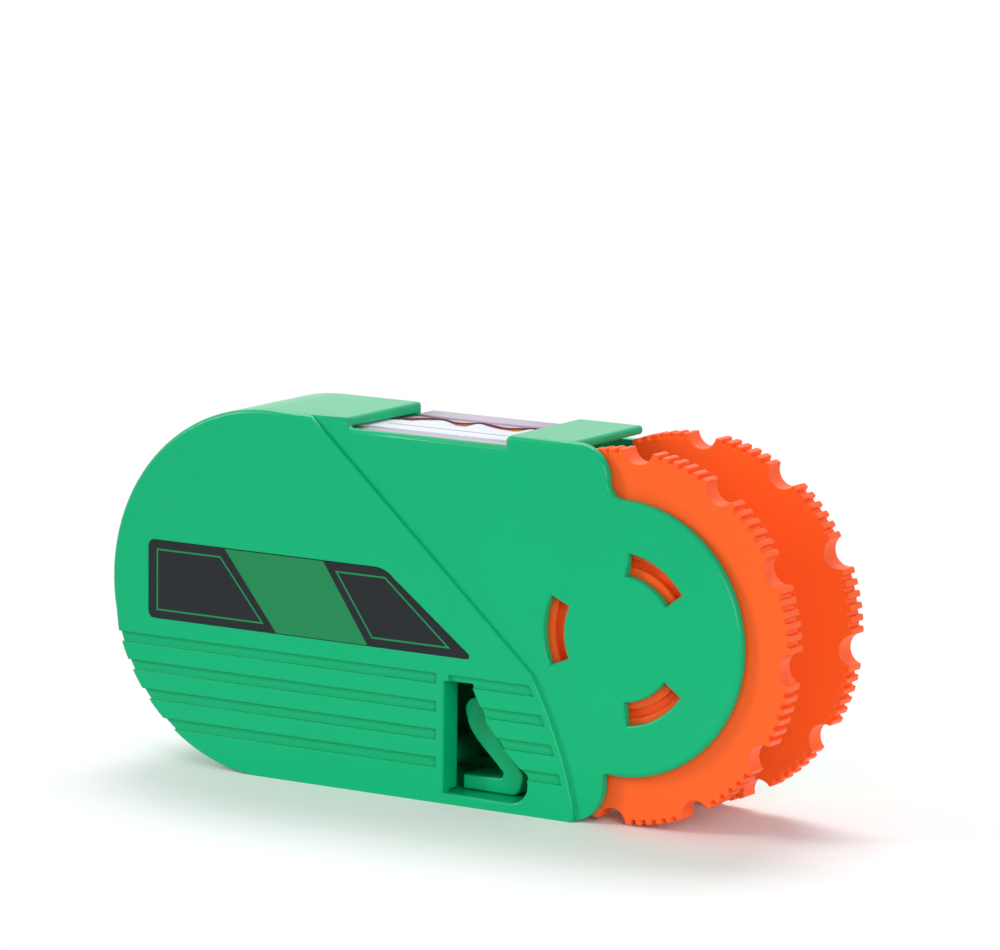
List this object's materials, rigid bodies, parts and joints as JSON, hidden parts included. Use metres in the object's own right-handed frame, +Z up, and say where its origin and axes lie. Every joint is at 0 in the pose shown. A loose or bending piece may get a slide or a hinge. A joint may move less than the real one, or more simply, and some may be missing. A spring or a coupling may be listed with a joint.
{
  "type": "fibre optic connector cleaning cassette",
  "caption": "Hand-held cassette with a round end, a tape window on top, a toothed thumbwheel that winds the cleaning tape on and a sprung pawl that clicks in its notches.",
  "frame": {"origin": "middle of the bounding box in plan, at the height of the lowest point of the case", "axes": "+X along the case towards the thumbwheel, +Y from the labelled front cover to the back, +Z up through the tape window"},
  "size_m": [0.1216, 0.0276, 0.058],
  "materials": {
    "case_plastic": "moulded green ABS with a satin polish",
    "wheel_plastic": "moulded orange plastic, satin",
    "label_film": "printed polyester label, satin",
    "natural_plastic": "uncoloured moulded plastic",
    "tape_cloth": "dry lint-free microfibre cleaning tape",
    "pad_rubber": "soft lavender-grey elastomer pad",
    "pin_steel": "drawn stainless steel"
  },
  "bodies": {
    "case": {"front_cover": "case_plastic", "rear_case": "case_plastic", "label_plate": "label_film", "cleaning_tape": "tape_cloth", "platform_bridge": "case_plastic", "platform_pad": "pad_rubber", "guide_pin_left": "pin_steel", "guide_pin_right": "pin_steel", "pawl_foot": "case_plastic", "brake_spring": "pin_steel", "spool_retainer": "natural_plastic"},
    "wheel": {"thumbwheel_front": "wheel_plastic", "thumbwheel_rear": "wheel_plastic", "takeup_core": "natural_plastic", "takeup_tape": "tape_cloth"},
    "supply_reel": {"supply_spool": "natural_plastic", "supply_flange": "natural_plastic", "supply_tape": "tape_cloth"},
    "left_roller": {"guide_roller_left": "natural_plastic"},
    "right_roller": {"guide_roller_right": "natural_plastic"},
    "pawl": {"pawl_arm": "case_plastic"}
  },
  "joints": [
    {"name": "wheel_spin", "type": "hinge", "parent": "case", "child": "wheel", "pos_m": [0.03215, 0, 0.029], "axis": [0, -1, 0], "continuous": true},
    {"name": "supply_spin", "type": "hinge", "parent": "case", "child": "supply_reel", "pos_m": [-0.03185, 0, 0.029], "axis": [0, -1, 0], "continuous": true},
    {"name": "left_roller_spin", "type": "hinge", "parent": "case", "child": "left_roller", "pos_m": [-0.02135, 0, 0.0539], "axis": [0, -1, 0], "continuous": true},
    {"name": "right_roller_spin", "type": "hinge", "parent": "case", "child": "right_roller", "pos_m": [0.01315, 0, 0.0539], "axis": [0, -1, 0], "continuous": true},
    {"name": "pawl_flex", "type": "hinge", "parent": "case", "child": "pawl", "pos_m": [0.01225, 0, 0.0039], "axis": [0, -1, 0], "range_deg": [0, 9], "stiffness_Nm_per_rad": 0.05}
  ],
  "couplings": [
    {"joint": "supply_spin", "follows": "wheel_spin", "ratio": -0.6476},
    {"joint": "left_roller_spin", "follows": "wheel_spin", "ratio": -6.6341},
    {"joint": "right_roller_spin", "follows": "wheel_spin", "ratio": -6.6341}
  ]
}
